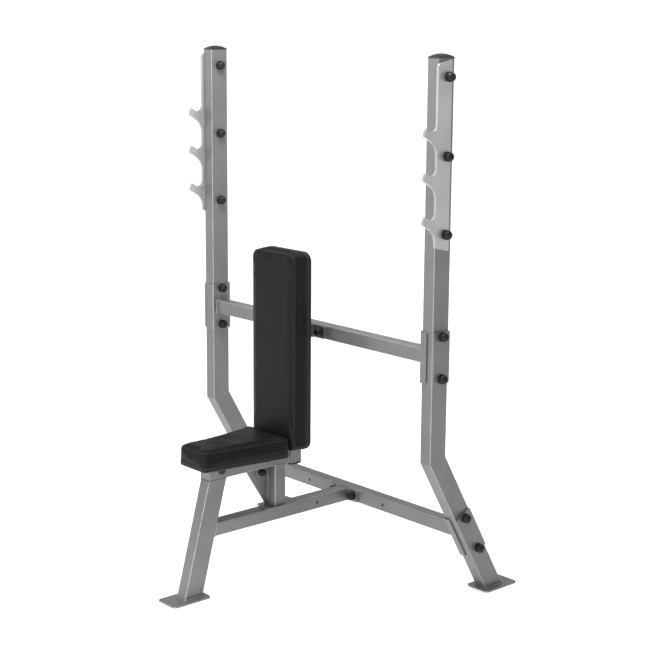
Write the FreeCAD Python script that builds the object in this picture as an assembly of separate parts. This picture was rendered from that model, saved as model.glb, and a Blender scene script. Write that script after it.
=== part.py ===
import FreeCAD, Part
import math
import os

# Olympic bench press: an upright seat and back rest between two tall uprights with bar hooks.
# Millimetres. +Z is up, the bench faces -Y, and X = 0 is the plane the bench is symmetric about.
# The floor is Z = 0. Pieces are drawn with the uprights' front faces in the plane Y = 0, and
# save() moves them back so that the origin lies under the middle of the whole footprint.

os.makedirs("parts", exist_ok=True)
V = FreeCAD.Vector
X_AXIS = V(1, 0, 0)
Y_AXIS = V(0, 1, 0)
Z_AXIS = V(0, 0, 1)
ORIGIN = V(0, 0, 0)
FAR = 4000.0                   # reach of the blocks that trim tubes

# Uprights and rear legs -------------------------------------------------------------------
FRAME_WIDTH = 1250.0           # over the outer faces of the uprights
UPRIGHT_ABOVE_HOOKS = 18.0     # tube above the front top corner of the hook plate
UPRIGHT_X = 50.0
UPRIGHT_Y = 75.0
TUBE_WALL = 3.0
TUBE_CORNER = 4.0
BEND_HEIGHT = 519.0            # front corner of the mitre between upright and rear leg
REAR_RAKE = 30.0               # degrees from vertical

# Square tube: crossmembers, spine and seat rail -----------------------------------------------
SQUARE_TUBE = 50.0
UPPER_BAR_HEIGHT = 889.5       # centre of the upper crossmember; the hooks and back rest follow it
ACCESSORY_HOLE = 10.0
LOWER_BAR_HOLE_X = 206.0       # accessory holes either side of the middle
SPINE_HOLE_Y = 19.0

# Brackets that hold the crossmembers to the uprights and legs -----------------------------------
BRACKET_LENGTH = 178.0
BRACKET_BOLT_SPACING = 145.0
SADDLE_THICKNESS = 5.0
SADDLE_LIP_GAP = 0.5           # between the saddle lips and the tube
SIDE_PLATE_THICKNESS = 6.0
BRACKET_ON_LEG = 348.0         # along the leg from the mitre to the bracket's centre

# Foot plates ---------------------------------------------------------------------------------
FOOT_X = 100.0
FOOT_Y = 160.0
FOOT_THICKNESS = 6.0
FOOT_CORNER = 12.0
FOOT_HOLE = 9.0
FOOT_HOLE_INSET = 15.0
REAR_FOOT_OVERHANG = 24.0      # plate in front of the rear leg
FRONT_FOOT_OVERHANG = 62.0     # plate in front of the front leg

# Bar hooks -------------------------------------------------------------------------------------
HOOK_THICKNESS = 9.5
HOOK_FRONT = 8.0               # plate edge in front of the upright
HOOK_BACK = 55.0               # plate edge behind the upright's front face
HOOK_REACH = 61.0              # nose ahead of the plate edge
HOOKS_ABOVE_BAR = 375.5        # plate's lower end above the centre of the upper crossmember
HOOK_PLATE_LENGTH = 597.0      # along its front edge
LOWEST_CUP = 91.5              # cup bottom above the plate's lower end
CUP_SPACING = 143.5
CUP_COUNT = 3
CUP_RADIUS = 22.0
CUP_SLOPE = 34.0               # degrees, ramp from the nose down into the cup
NOSE_RISE = 17.0               # nose tip above the cup bottom
TIP_RADIUS = 3.0
NOSE_RADIUS = 7.0
TIP_SETBACK = 0.19             # shares of HOOK_REACH: tip behind the nose,
NOSE_DROP = 0.14               # nose below the cup bottom,
UNDERCUT_DROP = 0.60           # corner of the hollow under the hook below the nose,
UNDERCUT_RADIUS = 0.95         # and the radius of that hollow
HOOK_PLATE_SLANT = 13.0        # degrees, slant of the top and bottom edges
HOOK_PLATE_SHOULDER = 15.0     # radius of the front top corner
HOOK_BOLT_INSET = 41.5         # end bolts from the ends of the plate

# Back rest -------------------------------------------------------------------------------------
MOUNT_PLATE_X = 150.0
MOUNT_PLATE_Z = 46.0
MOUNT_PLATE_THICKNESS = 8.0
MOUNT_BOLT_SPACING = 104.0
POST_X = 25.0
POST_Y = 50.0
POST_WALL = 2.5
POST_CORNER = 4.0
BACK_POST_FRONT = -98.0        # Y of the post's front face
BACK_POST_BOTTOM = 407.0
BACK_POST_ABOVE_BAR = 230.5
BACK_PAD_X = 244.0
BACK_PAD_BOTTOM = 479.0
BACK_PAD_ABOVE_BAR = 309.5
BACK_BOARD_THICKNESS = 15.0
BACK_FOAM_THICKNESS = 65.0
BACK_PAD_CORNER = 36.0
LOWER_PAD_BOLT = 81.0          # above the lower edge of the pad
UPPER_PAD_BOLT = 60.0          # below the top of the post

# Seat ------------------------------------------------------------------------------------------
FRONT_RAKE = 15.0              # degrees from vertical
FRONT_LEG_FOOT_Y = -594.0      # front face of the front leg where it would meet the floor
SEAT_RAIL_BOTTOM = 417.0
SEAT_RAIL_FRONT = -477.0
SEAT_RAIL_BACK = -122.0
RAIL_END_THICKNESS = 4.0
SEAT_PLATE_Y = 50.0
SEAT_PLATE_THICKNESS = 4.0
FRONT_SEAT_PLATE_Y = -452.0
REAR_SEAT_PLATE_Y = -235.0
FRONT_SEAT_BOLT_X = 58.0
REAR_SEAT_BOLT_X = 45.0
SEAT_PLATE_MARGIN = 17.0       # plate beyond its bolts, each end
SEAT_BOARD_THICKNESS = 12.0
SEAT_FOAM_THICKNESS = 60.0
SEAT_FRONT = -541.0
SEAT_BACK = -185.0
SEAT_FRONT_WIDTH = 150.0
SEAT_BACK_WIDTH = 238.0
SEAT_CORNER = 20.0
CUSHION_EDGE = 10.0            # rounding round the face of both cushions
BOARD_INSET = 3.0              # boards stop short of the upholstery by this much
SEAT_POST_FRONT = -184.0
BASE_PLATE_X = 74.0
BASE_PLATE_FRONT = -220.0
BASE_PLATE_BACK = -78.0
BASE_PLATE_THICKNESS = 5.0
GUSSET_THICKNESS = 8.0
GUSSET_REACH = 106.0           # along the top, ahead of the seat post
GUSSET_FOOT = 10.0             # along the base plate, ahead of the seat post
TAB_THICKNESS = 6.0
TAB_LENGTH = 44.0
TAB_DROP = 44.0
TAB_CORNER = 14.0
GUSSET_BOLT_Y = -220.0
GUSSET_BOLT_DROP = 26.0        # bolt below the seat rail
GUSSET_TOP_GAP = 1.0           # between the gusset and the rail it is not welded to
LEG_DRAIN_HOLE = 6.0
LEG_DRAIN_HEIGHT = 32.5
LEG_DRAIN_INSET = 15.0         # ahead of the leg's rear face

# Fasteners: (shank, hexagon across flats, head height, nut height, washer diameter and
# thickness, cap radius and height) ------------------------------------------------------------
M12 = dict(shank=12.0, flats=19.0, head=7.5, nut=10.8, washer=24.0, washer_t=2.5,
           cap_r=16.5, cap_h=28.0)
M10 = dict(shank=10.0, flats=17.0, head=6.4, nut=8.4, washer=20.0, washer_t=2.0,
           cap_r=13.0, cap_h=22.0)
M8 = dict(shank=8.0, flats=13.0, head=5.3)
HOLE_CLEARANCE = 1.0           # bolt holes are this much larger than the bolt
THREAD_PROUD = 2.5             # bolt end beyond its nut
NUT_CLEARANCE = 0.3            # nut and washer bores around the shank, on diameter
CAP_WALL = 3.0
SCREW_CLEARANCE = 0.3          # pilot holes in the boards, on diameter
BLIND_BOLT_SHORT = 2.0         # pad bolts stop this far short of the foam

# End caps of the tubes ----------------------------------------------------------------------
UPRIGHT_CAP_RIM = 1.0          # lid beyond the tube, each side
UPRIGHT_CAP_EDGE = 1.5         # height of the lid at its corners
UPRIGHT_CAP_CROWN = 15.0       # height of the lid's middle
POST_CAP_EDGE = 5.5
POST_CAP_CROWN = 7.5
CAP_PLUG_LENGTH = 20.0
CAP_PLUG_CORNER = 1.5
CAP_PLUG_CLEARANCE = 0.3       # end-cap plugs inside their tubes, each side

PLATE_CORNER = 5.0             # corners of the flat steel plates
WELDED_CORNER = 1.0            # plate corners that end in a weld

# Worked out from the sizes above ------------------------------------------------------------
TUBE_CENTRE_X = FRAME_WIDTH / 2 - UPRIGHT_X / 2
TUBE_CENTRE_Y = UPRIGHT_Y / 2
REAR_SIN = math.sin(math.radians(REAR_RAKE))
REAR_COS = math.cos(math.radians(REAR_RAKE))
FRONT_TAN = math.tan(math.radians(FRONT_RAKE))
LEG_BACK_AT_FLOOR = FRONT_LEG_FOOT_Y + UPRIGHT_Y / math.cos(math.radians(FRONT_RAKE))
FRONT_FOOT_FRONT = FRONT_LEG_FOOT_Y - FRONT_FOOT_OVERHANG
REAR_FOOT_FRONT = BEND_HEIGHT * REAR_SIN / REAR_COS - REAR_FOOT_OVERHANG
FOOTPRINT_CENTRE_Y = (FRONT_FOOT_FRONT + REAR_FOOT_FRONT + FOOT_Y) / 2
HOOK_PLATE_BOTTOM = UPPER_BAR_HEIGHT + HOOKS_ABOVE_BAR
HOOK_PLATE_TOP = HOOK_PLATE_BOTTOM + HOOK_PLATE_LENGTH
UPRIGHT_TOP = HOOK_PLATE_TOP + UPRIGHT_ABOVE_HOOKS
HOOK_BOLT_HEIGHTS = (HOOK_PLATE_BOTTOM + HOOK_BOLT_INSET,
                     HOOK_PLATE_BOTTOM + HOOK_PLATE_LENGTH / 2,
                     HOOK_PLATE_TOP - HOOK_BOLT_INSET)
BACK_POST_TOP = UPPER_BAR_HEIGHT + BACK_POST_ABOVE_BAR
BACK_PAD_TOP = UPPER_BAR_HEIGHT + BACK_PAD_ABOVE_BAR
LOWEST_PAD_BOLT_Z = BACK_PAD_BOTTOM + LOWER_PAD_BOLT
BACK_BOLT_HEIGHTS = (LOWEST_PAD_BOLT_Z,
                     (LOWEST_PAD_BOLT_Z + UPPER_BAR_HEIGHT) / 2,
                     BACK_POST_TOP - UPPER_PAD_BOLT)
SADDLE_INNER_X = TUBE_CENTRE_X - UPRIGHT_X / 2 - SADDLE_THICKNESS
LEG_BRACKET_Y = BRACKET_ON_LEG * REAR_SIN + TUBE_CENTRE_Y * REAR_COS
LEG_BRACKET_Z = BEND_HEIGHT - BRACKET_ON_LEG * REAR_COS + TUBE_CENTRE_Y * REAR_SIN
SPINE_HEIGHT = LEG_BRACKET_Z
SPINE_TOP = SPINE_HEIGHT + SQUARE_TUBE / 2
UPPER_BAR_FRONT = TUBE_CENTRE_Y - SQUARE_TUBE / 2
LOWER_BAR_FRONT = LEG_BRACKET_Y - SQUARE_TUBE / 2
SPINE_BACK = LOWER_BAR_FRONT - MOUNT_PLATE_THICKNESS
SEAT_RAIL_TOP = SEAT_RAIL_BOTTOM + SQUARE_TUBE
SEAT_BOARD_BOTTOM = SEAT_RAIL_TOP + SEAT_PLATE_THICKNESS
SEAT_FOAM_BOTTOM = SEAT_BOARD_BOTTOM + SEAT_BOARD_THICKNESS
GUSSET_BOLT_Z = SEAT_RAIL_BOTTOM - GUSSET_BOLT_DROP
GUSSET_X = -SQUARE_TUBE / 2    # left face of the gusset, flush with the seat post
TAB_X = GUSSET_X + GUSSET_THICKNESS
BASE_TOP = SPINE_TOP + BASE_PLATE_THICKNESS


# Helpers -------------------------------------------------------------------------------------
def save(name, shape):
    moved(shape, y=-FOOTPRINT_CENTRE_Y).exportStep("parts/" + name + ".step")


def save_pair(name, right_shape):
    save(name + "_right", right_shape)
    save(name + "_left", mirrored(right_shape))


def mirrored(shape):
    return shape.mirror(ORIGIN, X_AXIS)


def both_sides(shapes):
    return Part.makeCompound(shapes + [mirrored(shape) for shape in shapes])


def moved(shape, x=0.0, y=0.0, z=0.0):
    copy = shape.copy()
    copy.translate(V(x, y, z))
    return copy


def turned(shape, axis, angle):
    copy = shape.copy()
    copy.rotate(ORIGIN, axis, angle)
    return copy


def block(x0, x1, y0, y1, z0, z1):
    return Part.makeBox(x1 - x0, y1 - y0, z1 - z0, V(x0, y0, z0))


def edges_along(shape, axis):
    found = []
    for edge in shape.Edges:
        straight = isinstance(edge.Curve, Part.Line)
        if straight and abs(edge.tangentAt(edge.FirstParameter).dot(axis)) > 0.999:
            found.append(edge)
    return found


def rounded_bar(size_x, size_y, length, radius):
    """A bar along +Z from Z = 0, centred on X and Y, with rounded long edges."""
    bar = block(-size_x / 2, size_x / 2, -size_y / 2, size_y / 2, 0, length)
    return bar.makeFillet(radius, edges_along(bar, Z_AXIS))


def tube(size_x, size_y, length, wall=TUBE_WALL, radius=TUBE_CORNER):
    outside = rounded_bar(size_x, size_y, length, radius)
    inside = rounded_bar(size_x - 2 * wall, size_y - 2 * wall, length, radius - wall)
    return outside.cut(inside)


def rod(diameter, length, base=ORIGIN, axis=Z_AXIS):
    return Part.makeCylinder(diameter / 2, length, base, axis)


def cross_hole(diameter, y, z):
    """A drill along X, right through everything."""
    return rod(diameter, FAR, V(-FAR / 2, y, z), X_AXIS)


def front_hole(diameter, x, z):
    """A drill along Y, right through everything."""
    return rod(diameter, FAR, V(x, -FAR / 2, z), Y_AXIS)


def upward_hole(diameter, x, y):
    """A drill along Z, right through everything."""
    return rod(diameter, FAR, V(x, y, -FAR / 2), Z_AXIS)


def drilled(shape, drills):
    for drill in drills:
        shape = shape.cut(drill)
    return shape


def rounded_outline(corners):
    """A closed wire in the YZ plane through (y, z, radius) corners, each rounded by an arc."""
    starts = []
    arcs = []
    ends = []
    count = len(corners)
    for i in range(count):
        before = V(0, corners[i - 1][0], corners[i - 1][1])
        here = V(0, corners[i][0], corners[i][1])
        after = V(0, corners[(i + 1) % count][0], corners[(i + 1) % count][1])
        to_before = (before - here).normalize()
        to_after = (after - here).normalize()
        half_angle = to_before.getAngle(to_after) / 2
        reach = corners[i][2] / math.tan(half_angle)
        centre = here + (to_before + to_after).normalize() * (corners[i][2] / math.sin(half_angle))
        middle = centre + (here - centre).normalize() * corners[i][2]
        starts.append(here + to_before * reach)
        ends.append(here + to_after * reach)
        arcs.append(Part.Arc(starts[i], middle, ends[i]).toShape())
    edges = []
    for i in range(count):
        edges.append(arcs[i])
        edges.append(Part.makeLine(ends[i], starts[(i + 1) % count]))
    return Part.Wire(edges)


def flat_plate(outline, x0, thickness):
    """A plate of the given YZ outline, from X = x0 towards +X."""
    return moved(Part.Face(outline).extrude(V(thickness, 0, 0)), x=x0)


# Fasteners, along +Z with the clamped face at Z = 0 ------------------------------------------
def hexagon(flats, height):
    radius = flats / math.sqrt(3)
    corners = [V(radius * math.cos(math.radians(60 * i)), radius * math.sin(math.radians(60 * i)), 0)
               for i in range(7)]
    return Part.Face(Part.makePolygon(corners)).extrude(V(0, 0, height))


def hex_bolt(size, length, under_head=0.0):
    """Head above Z = under_head and shank running down from it."""
    head = hexagon(size["flats"], size["head"])
    shank = rod(size["shank"], length, V(0, 0, -length))
    return moved(head.fuse(shank).removeSplitter(), z=under_head)


def washer(size):
    disc = rod(size["washer"], size["washer_t"])
    return disc.cut(rod(size["shank"] + NUT_CLEARANCE, size["washer_t"]))


def nut(size):
    body = moved(hexagon(size["flats"], size["nut"]), z=size["washer_t"])
    return body.cut(rod(size["shank"] + NUT_CLEARANCE, FAR))


def dome(radius, height):
    """A cylinder with a half-ball end, together the given height."""
    skirt = rod(2 * radius, height - radius)
    ball = Part.makeSphere(radius, V(0, 0, height - radius), Z_AXIS, 0, 90, 360)
    return skirt.fuse(ball).removeSplitter()


def bolt_cap(size):
    """A domed plastic cap that covers a bolt head or a nut."""
    hollow = dome(size["cap_r"] - CAP_WALL, size["cap_h"] - CAP_WALL)
    return dome(size["cap_r"], size["cap_h"]).cut(hollow)


def through_bolt(size, grip):
    """Bolt, washers, nut and caps across a joint of thickness grip that lies below Z = 0."""
    length = size["washer_t"] * 2 + grip + size["nut"] + THREAD_PROUD
    far_side = [moved(turned(piece, X_AXIS, 180), z=-grip)
                for piece in (washer(size), nut(size), bolt_cap(size))]
    return {"bolts": [hex_bolt(size, length, size["washer_t"])],
            "washers": [washer(size), far_side[0]],
            "nuts": [far_side[1]],
            "caps": [bolt_cap(size), far_side[2]]}


def bolt_row(size, grip, place, positions):
    """The same through bolt at every position; place turns and moves one piece to a position."""
    row = {"bolts": [], "washers": [], "nuts": [], "caps": []}
    for position in positions:
        for kind, pieces in through_bolt(size, grip).items():
            row[kind] += [place(piece, position) for piece in pieces]
    return row


def bracket_turned(shape, angle, y, z):
    """From bracket coordinates (Z along the tube, +X outward) to the right-hand tube."""
    return moved(turned(shape, X_AXIS, angle), TUBE_CENTRE_X, y, z)


# Uprights, rear legs and feet -----------------------------------------------------------------
def below_mitre():
    half_space = block(-FAR, FAR, -FAR, FAR, -FAR, 0)
    return moved(turned(half_space, X_AXIS, REAR_RAKE / 2), z=BEND_HEIGHT)


def bracket_bolt_offsets():
    return (-BRACKET_BOLT_SPACING / 2, BRACKET_BOLT_SPACING / 2)


def upright():
    hole = M12["shank"] + HOLE_CLEARANCE
    post = moved(tube(UPRIGHT_X, UPRIGHT_Y, UPRIGHT_TOP), TUBE_CENTRE_X, TUBE_CENTRE_Y)
    post = post.cut(below_mitre())
    bracket_heights = [UPPER_BAR_HEIGHT + offset for offset in bracket_bolt_offsets()]
    heights = list(HOOK_BOLT_HEIGHTS) + bracket_heights
    return drilled(post, [cross_hole(hole, TUBE_CENTRE_Y, z) for z in heights])


def rear_leg():
    hole = M12["shank"] + HOLE_CLEARANCE
    leg = moved(tube(UPRIGHT_X, UPRIGHT_Y, 2 * BEND_HEIGHT), z=-BEND_HEIGHT)
    leg = drilled(leg, [cross_hole(hole, 0, offset) for offset in bracket_bolt_offsets()])
    leg = bracket_turned(leg, REAR_RAKE, LEG_BRACKET_Y, LEG_BRACKET_Z)
    floor = block(-FAR, FAR, -FAR, FAR, -FAR, FOOT_THICKNESS)
    return leg.common(below_mitre()).cut(floor)


def foot_plate(centre_x, front_y, hole_y):
    plate = rounded_bar(FOOT_X, FOOT_Y, FOOT_THICKNESS, FOOT_CORNER)
    plate = moved(plate, centre_x, front_y + FOOT_Y / 2)
    return plate.cut(upward_hole(FOOT_HOLE, centre_x, hole_y))


def rear_foot_plate():
    return foot_plate(TUBE_CENTRE_X, REAR_FOOT_FRONT, REAR_FOOT_FRONT + FOOT_Y - FOOT_HOLE_INSET)


def front_foot_plate():
    return foot_plate(0.0, FRONT_FOOT_FRONT, FRONT_FOOT_FRONT + FOOT_HOLE_INSET)


def end_cap(size_x, size_y, wall, rim, edge, crown):
    """A plug with a domed lid, edge high at its corners and crown high in its middle."""
    lid_x = size_x + 2 * rim
    lid_y = size_y + 2 * rim
    half_diagonal = math.hypot(lid_x / 2, lid_y / 2)
    rise = crown - edge
    ball_radius = (half_diagonal ** 2 + rise ** 2) / (2 * rise)
    ball = Part.makeSphere(ball_radius, V(0, 0, crown - ball_radius))
    lid = rounded_bar(lid_x, lid_y, crown, TUBE_CORNER).common(ball)
    gap = 2 * (wall + CAP_PLUG_CLEARANCE)
    plug = rounded_bar(size_x - gap, size_y - gap, CAP_PLUG_LENGTH, CAP_PLUG_CORNER)
    return lid.fuse(moved(plug, z=-CAP_PLUG_LENGTH)).removeSplitter()


def upright_cap():
    cap = end_cap(UPRIGHT_X, UPRIGHT_Y, TUBE_WALL, UPRIGHT_CAP_RIM, UPRIGHT_CAP_EDGE,
                  UPRIGHT_CAP_CROWN)
    return moved(cap, TUBE_CENTRE_X, TUBE_CENTRE_Y, UPRIGHT_TOP)


# Brackets -------------------------------------------------------------------------------------
def saddle():
    """Channel on the inner side of a tube: a wall and two lips that reach the tube's middle."""
    inner = -UPRIGHT_X / 2 - SADDLE_THICKNESS
    half_y = UPRIGHT_Y / 2 + SADDLE_LIP_GAP + SADDLE_THICKNESS
    half_z = BRACKET_LENGTH / 2
    channel = block(inner, 0, -half_y, half_y, -half_z, half_z)
    bends = [edge for edge in edges_along(channel, Z_AXIS) if edge.BoundBox.XMax < inner + 1]
    channel = channel.makeFillet(SADDLE_THICKNESS, bends)
    pocket_y = UPRIGHT_Y / 2 + SADDLE_LIP_GAP
    pocket = block(-UPRIGHT_X / 2, FAR, -pocket_y, pocket_y, -FAR, FAR)
    channel = channel.cut(pocket)
    lip_corners = [edge for edge in edges_along(channel, Y_AXIS) if edge.BoundBox.XMin > -1]
    channel = channel.makeFillet(SADDLE_THICKNESS, lip_corners)
    hole = M12["shank"] + HOLE_CLEARANCE
    return drilled(channel, [cross_hole(hole, 0, z) for z in bracket_bolt_offsets()])


def side_plate():
    """Flat clamping plate on the outer side of a tube."""
    half_y = UPRIGHT_Y / 2
    half_z = BRACKET_LENGTH / 2
    corners = [(-half_y, -half_z), (half_y, -half_z), (half_y, half_z), (-half_y, half_z)]
    outline = rounded_outline([(y, z, PLATE_CORNER) for y, z in corners])
    plate = flat_plate(outline, UPRIGHT_X / 2, SIDE_PLATE_THICKNESS)
    hole = M12["shank"] + HOLE_CLEARANCE
    return drilled(plate, [cross_hole(hole, 0, z) for z in bracket_bolt_offsets()])


def on_upright(shape):
    return bracket_turned(shape, 0, TUBE_CENTRE_Y, UPPER_BAR_HEIGHT)


def on_leg(shape):
    return bracket_turned(shape, REAR_RAKE, LEG_BRACKET_Y, LEG_BRACKET_Z)


def bracket_fasteners():
    """Fasteners of the upper and lower brackets on the right-hand side."""
    grip = SADDLE_THICKNESS + UPRIGHT_X + SIDE_PLATE_THICKNESS
    face = UPRIGHT_X / 2 + SIDE_PLATE_THICKNESS

    def place(piece, z):
        return moved(turned(piece, Y_AXIS, 90), x=face, z=z)

    row = bolt_row(M12, grip, place, bracket_bolt_offsets())
    return {kind: [on_upright(piece) for piece in pieces] + [on_leg(piece) for piece in pieces]
            for kind, pieces in row.items()}


# Bar hooks ------------------------------------------------------------------------------------
def hook_corners(cup_z):
    """Corners of one hook, from its cup down to the plate edge below it."""
    edge = -HOOK_FRONT
    nose_y = edge - HOOK_REACH
    tip_y = nose_y + TIP_SETBACK * HOOK_REACH
    tip_z = cup_z + NOSE_RISE
    cup_corner_z = tip_z - (edge - tip_y) * math.tan(math.radians(CUP_SLOPE))
    nose_z = cup_z - NOSE_DROP * HOOK_REACH
    under_z = nose_z - UNDERCUT_DROP * HOOK_REACH
    return [(edge, cup_corner_z, CUP_RADIUS), (tip_y, tip_z, TIP_RADIUS),
            (nose_y, nose_z, NOSE_RADIUS), (edge, under_z, UNDERCUT_RADIUS * HOOK_REACH)]


def hook_plate():
    slant = (HOOK_FRONT + HOOK_BACK) * math.tan(math.radians(HOOK_PLATE_SLANT))
    corners = [(HOOK_BACK, HOOK_PLATE_TOP + slant, PLATE_CORNER),
               (-HOOK_FRONT, HOOK_PLATE_TOP, HOOK_PLATE_SHOULDER)]
    for i in reversed(range(CUP_COUNT)):
        corners += hook_corners(HOOK_PLATE_BOTTOM + LOWEST_CUP + i * CUP_SPACING)
    corners += [(-HOOK_FRONT, HOOK_PLATE_BOTTOM, PLATE_CORNER),
                (HOOK_BACK, HOOK_PLATE_BOTTOM - slant, PLATE_CORNER)]
    plate = flat_plate(rounded_outline(corners), FRAME_WIDTH / 2, HOOK_THICKNESS)
    hole = M12["shank"] + HOLE_CLEARANCE
    return drilled(plate, [cross_hole(hole, TUBE_CENTRE_Y, z) for z in HOOK_BOLT_HEIGHTS])


def hook_fasteners():
    grip = UPRIGHT_X + HOOK_THICKNESS
    face = FRAME_WIDTH / 2 + HOOK_THICKNESS

    def place(piece, z):
        return moved(turned(piece, Y_AXIS, 90), face, TUBE_CENTRE_Y, z)

    return bolt_row(M12, grip, place, HOOK_BOLT_HEIGHTS)


# Crossmembers ---------------------------------------------------------------------------------
def crossmember(centre_y, centre_z):
    bar = turned(tube(SQUARE_TUBE, SQUARE_TUBE, 2 * SADDLE_INNER_X), Y_AXIS, 90)
    bar = moved(bar, -SADDLE_INNER_X, centre_y, centre_z)
    hole = M12["shank"] + HOLE_CLEARANCE
    half = MOUNT_BOLT_SPACING / 2
    return drilled(bar, [front_hole(hole, x, centre_z) for x in (-half, half)])


def lower_crossmember():
    bar = crossmember(LEG_BRACKET_Y, LEG_BRACKET_Z)
    holes_x = (-LOWER_BAR_HOLE_X, LOWER_BAR_HOLE_X)
    return drilled(bar, [front_hole(ACCESSORY_HOLE, x, LEG_BRACKET_Z) for x in holes_x])


def mount_plate(face_y, centre_z):
    """Bolted plate on the front face of a crossmember; face_y is that face."""
    plate = rounded_bar(MOUNT_PLATE_X, MOUNT_PLATE_Z, MOUNT_PLATE_THICKNESS, PLATE_CORNER)
    plate = moved(turned(plate, X_AXIS, 90), 0, face_y, centre_z)
    hole = M12["shank"] + HOLE_CLEARANCE
    half = MOUNT_BOLT_SPACING / 2
    return drilled(plate, [front_hole(hole, x, centre_z) for x in (-half, half)])


def mount_fasteners():
    grip = MOUNT_PLATE_THICKNESS + SQUARE_TUBE
    half = MOUNT_BOLT_SPACING / 2
    spots = []
    for bar_front, z in ((UPPER_BAR_FRONT, UPPER_BAR_HEIGHT), (LOWER_BAR_FRONT, LEG_BRACKET_Z)):
        spots += [V(side * half, bar_front - MOUNT_PLATE_THICKNESS, z) for side in (-1, 1)]

    def place(piece, spot):
        return moved(turned(piece, X_AXIS, 90), spot.x, spot.y, spot.z)

    return bolt_row(M12, grip, place, spots)


# Back rest ------------------------------------------------------------------------------------
def back_stub():
    start = BACK_POST_FRONT + POST_Y
    length = UPPER_BAR_FRONT - MOUNT_PLATE_THICKNESS - start
    stub = tube(POST_X, POST_Y, length, POST_WALL, POST_CORNER)
    return moved(turned(stub, X_AXIS, -90), 0, start, UPPER_BAR_HEIGHT)


def back_post():
    length = BACK_POST_TOP - BACK_POST_BOTTOM
    post = tube(POST_X, POST_Y, length, POST_WALL, POST_CORNER)
    post = moved(post, 0, BACK_POST_FRONT + POST_Y / 2, BACK_POST_BOTTOM)
    hole = M8["shank"] + HOLE_CLEARANCE
    return drilled(post, [front_hole(hole, 0, z) for z in BACK_BOLT_HEIGHTS])


def back_post_caps():
    cap = end_cap(POST_X, POST_Y, POST_WALL, 0.0, POST_CAP_EDGE, POST_CAP_CROWN)
    centre_y = BACK_POST_FRONT + POST_Y / 2
    top = moved(cap, 0, centre_y, BACK_POST_TOP)
    bottom = moved(turned(cap, X_AXIS, 180), 0, centre_y, BACK_POST_BOTTOM)
    return Part.makeCompound([top, bottom])


def back_slab(inset, front_y, thickness, corner):
    size_z = BACK_PAD_TOP - BACK_PAD_BOTTOM - 2 * inset
    slab = rounded_bar(BACK_PAD_X - 2 * inset, size_z, thickness, corner)
    middle_z = (BACK_PAD_TOP + BACK_PAD_BOTTOM) / 2
    return moved(turned(slab, X_AXIS, 90), 0, front_y + thickness, middle_z)


def back_board():
    board_corner = BACK_PAD_CORNER - BOARD_INSET
    front = BACK_POST_FRONT - BACK_BOARD_THICKNESS
    board = back_slab(BOARD_INSET, front, BACK_BOARD_THICKNESS, board_corner)
    pilot = M8["shank"] + SCREW_CLEARANCE
    return drilled(board, [front_hole(pilot, 0, z) for z in BACK_BOLT_HEIGHTS])


def back_cushion():
    front = BACK_POST_FRONT - BACK_BOARD_THICKNESS - BACK_FOAM_THICKNESS
    cushion = back_slab(0.0, front, BACK_FOAM_THICKNESS, BACK_PAD_CORNER)
    front_edges = [edge for edge in cushion.Edges if edge.BoundBox.YMax < front + 0.01]
    return cushion.makeFillet(CUSHION_EDGE, front_edges)


def back_pad_bolts():
    """Long bolts from behind the post into the board."""
    length = POST_Y + BACK_BOARD_THICKNESS - BLIND_BOLT_SHORT
    back = BACK_POST_FRONT + POST_Y
    bolt = turned(hex_bolt(M8, length), X_AXIS, -90)
    return Part.makeCompound([moved(bolt, 0, back, z) for z in BACK_BOLT_HEIGHTS])


# Spine and front leg ---------------------------------------------------------------------------
def ahead_of_leg_back():
    """Half space in front of the front leg's rear face."""
    half_space = block(-FAR, FAR, -FAR, 0, -FAR, FAR)
    return moved(turned(half_space, X_AXIS, -FRONT_RAKE), y=LEG_BACK_AT_FLOOR)


def front_leg():
    leg = moved(tube(UPRIGHT_X, UPRIGHT_Y, 2 * SEAT_RAIL_TOP), z=-SEAT_RAIL_TOP / 2)
    leg = moved(leg, y=UPRIGHT_Y / 2)
    leg = moved(turned(leg, X_AXIS, -FRONT_RAKE), y=FRONT_LEG_FOOT_Y)
    leg = leg.common(block(-FAR, FAR, -FAR, FAR, FOOT_THICKNESS, SEAT_RAIL_BOTTOM))
    drain_y = LEG_BACK_AT_FLOOR + LEG_DRAIN_HEIGHT * FRONT_TAN - LEG_DRAIN_INSET
    return leg.cut(cross_hole(LEG_DRAIN_HOLE, drain_y, LEG_DRAIN_HEIGHT))


def spine_tube():
    length = SPINE_BACK - FRONT_LEG_FOOT_Y
    spine = turned(tube(SQUARE_TUBE, SQUARE_TUBE, length), X_AXIS, -90)
    spine = moved(spine, 0, FRONT_LEG_FOOT_Y, SPINE_HEIGHT)
    spine = spine.cut(ahead_of_leg_back())
    return spine.cut(cross_hole(ACCESSORY_HOLE, SPINE_HOLE_Y, SPINE_HEIGHT))


# Seat frame ------------------------------------------------------------------------------------
def seat_rail():
    rail = tube(SQUARE_TUBE, SQUARE_TUBE, SEAT_RAIL_BACK - SEAT_RAIL_FRONT)
    rail = turned(rail, X_AXIS, -90)
    return moved(rail, 0, SEAT_RAIL_FRONT, SEAT_RAIL_BOTTOM + SQUARE_TUBE / 2)


def seat_rail_end_plates():
    plate = rounded_bar(SQUARE_TUBE, SQUARE_TUBE, RAIL_END_THICKNESS, TUBE_CORNER)
    centre_z = SEAT_RAIL_BOTTOM + SQUARE_TUBE / 2
    front = moved(turned(plate, X_AXIS, 90), 0, SEAT_RAIL_FRONT, centre_z)
    back = moved(turned(plate, X_AXIS, -90), 0, SEAT_RAIL_BACK, centre_z)
    return Part.makeCompound([front, back])


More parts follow.
